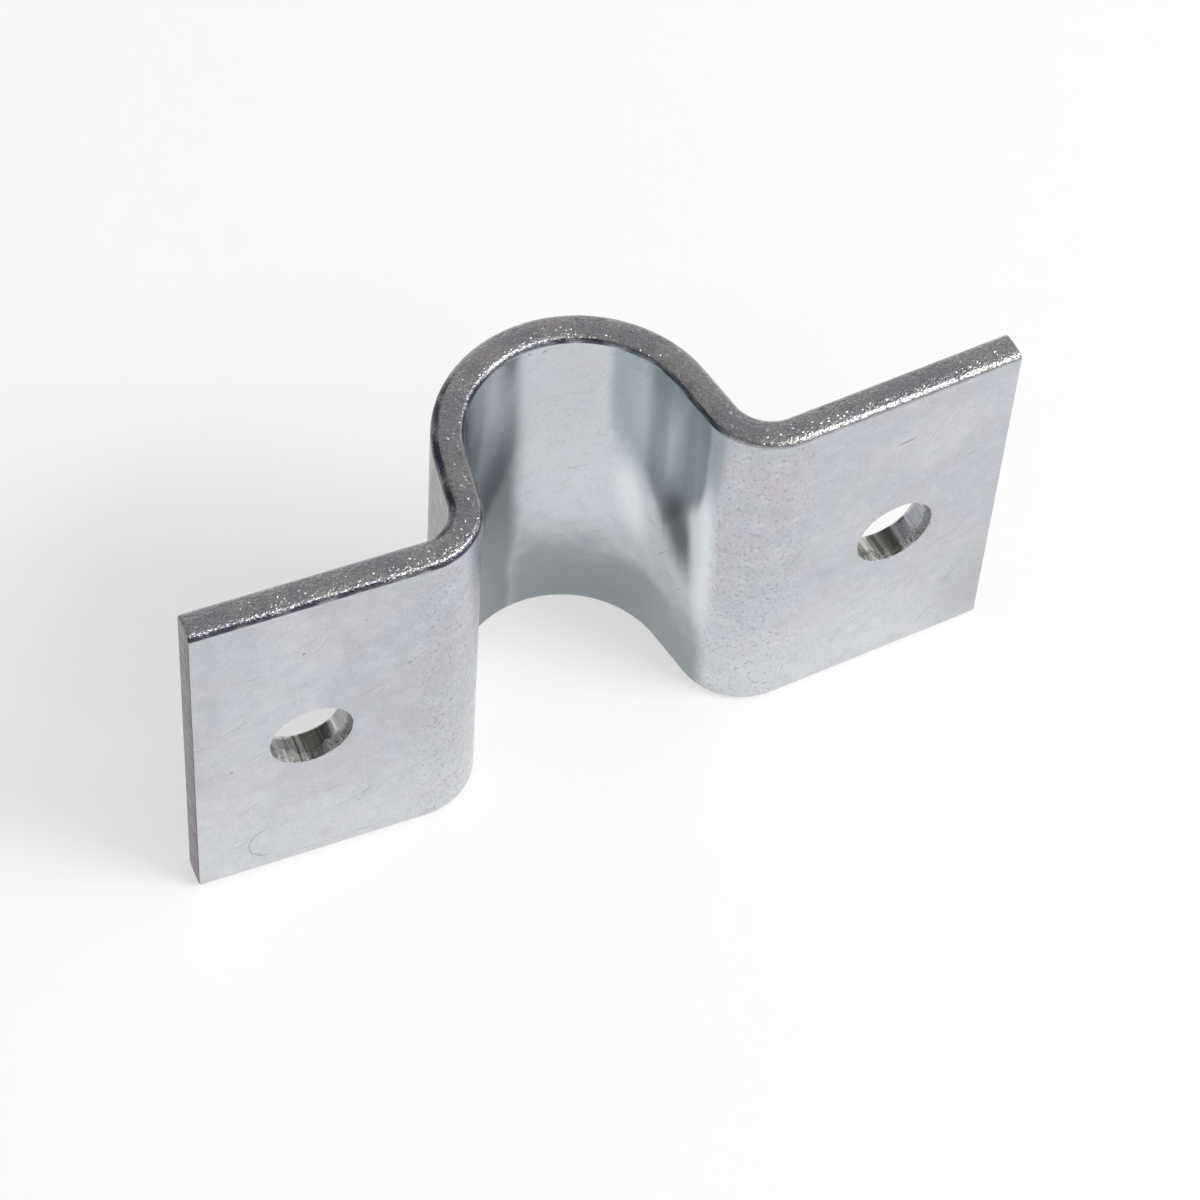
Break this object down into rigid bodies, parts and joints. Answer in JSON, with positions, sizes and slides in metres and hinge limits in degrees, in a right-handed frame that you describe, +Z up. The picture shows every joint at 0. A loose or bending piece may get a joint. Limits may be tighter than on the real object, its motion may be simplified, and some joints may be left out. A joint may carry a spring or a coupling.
{
  "type": "conduit strap",
  "caption": "Bent flat-bar strap with a half-round seat that holds a conduit to a wall, and a punched fixing hole in each flat tab.",
  "frame": {"origin": "on the conduit's centre line, the axis of the half-round seat, at half the bar's width", "axes": "+X along the strap from the left tab to the right tab, +Y out from the wall over the crown of the seat, +Z up the conduit's axis; the strap stands on one rolled edge"},
  "size_m": [0.0998, 0.0272, 0.05],
  "materials": {
    "zinc_plated_steel": "bright zinc plate, clear passivated, satin, with fine scratches and pits"
  },
  "bodies": {
    "root": {"strap": "zinc_plated_steel"}
  },
  "joints": []
}
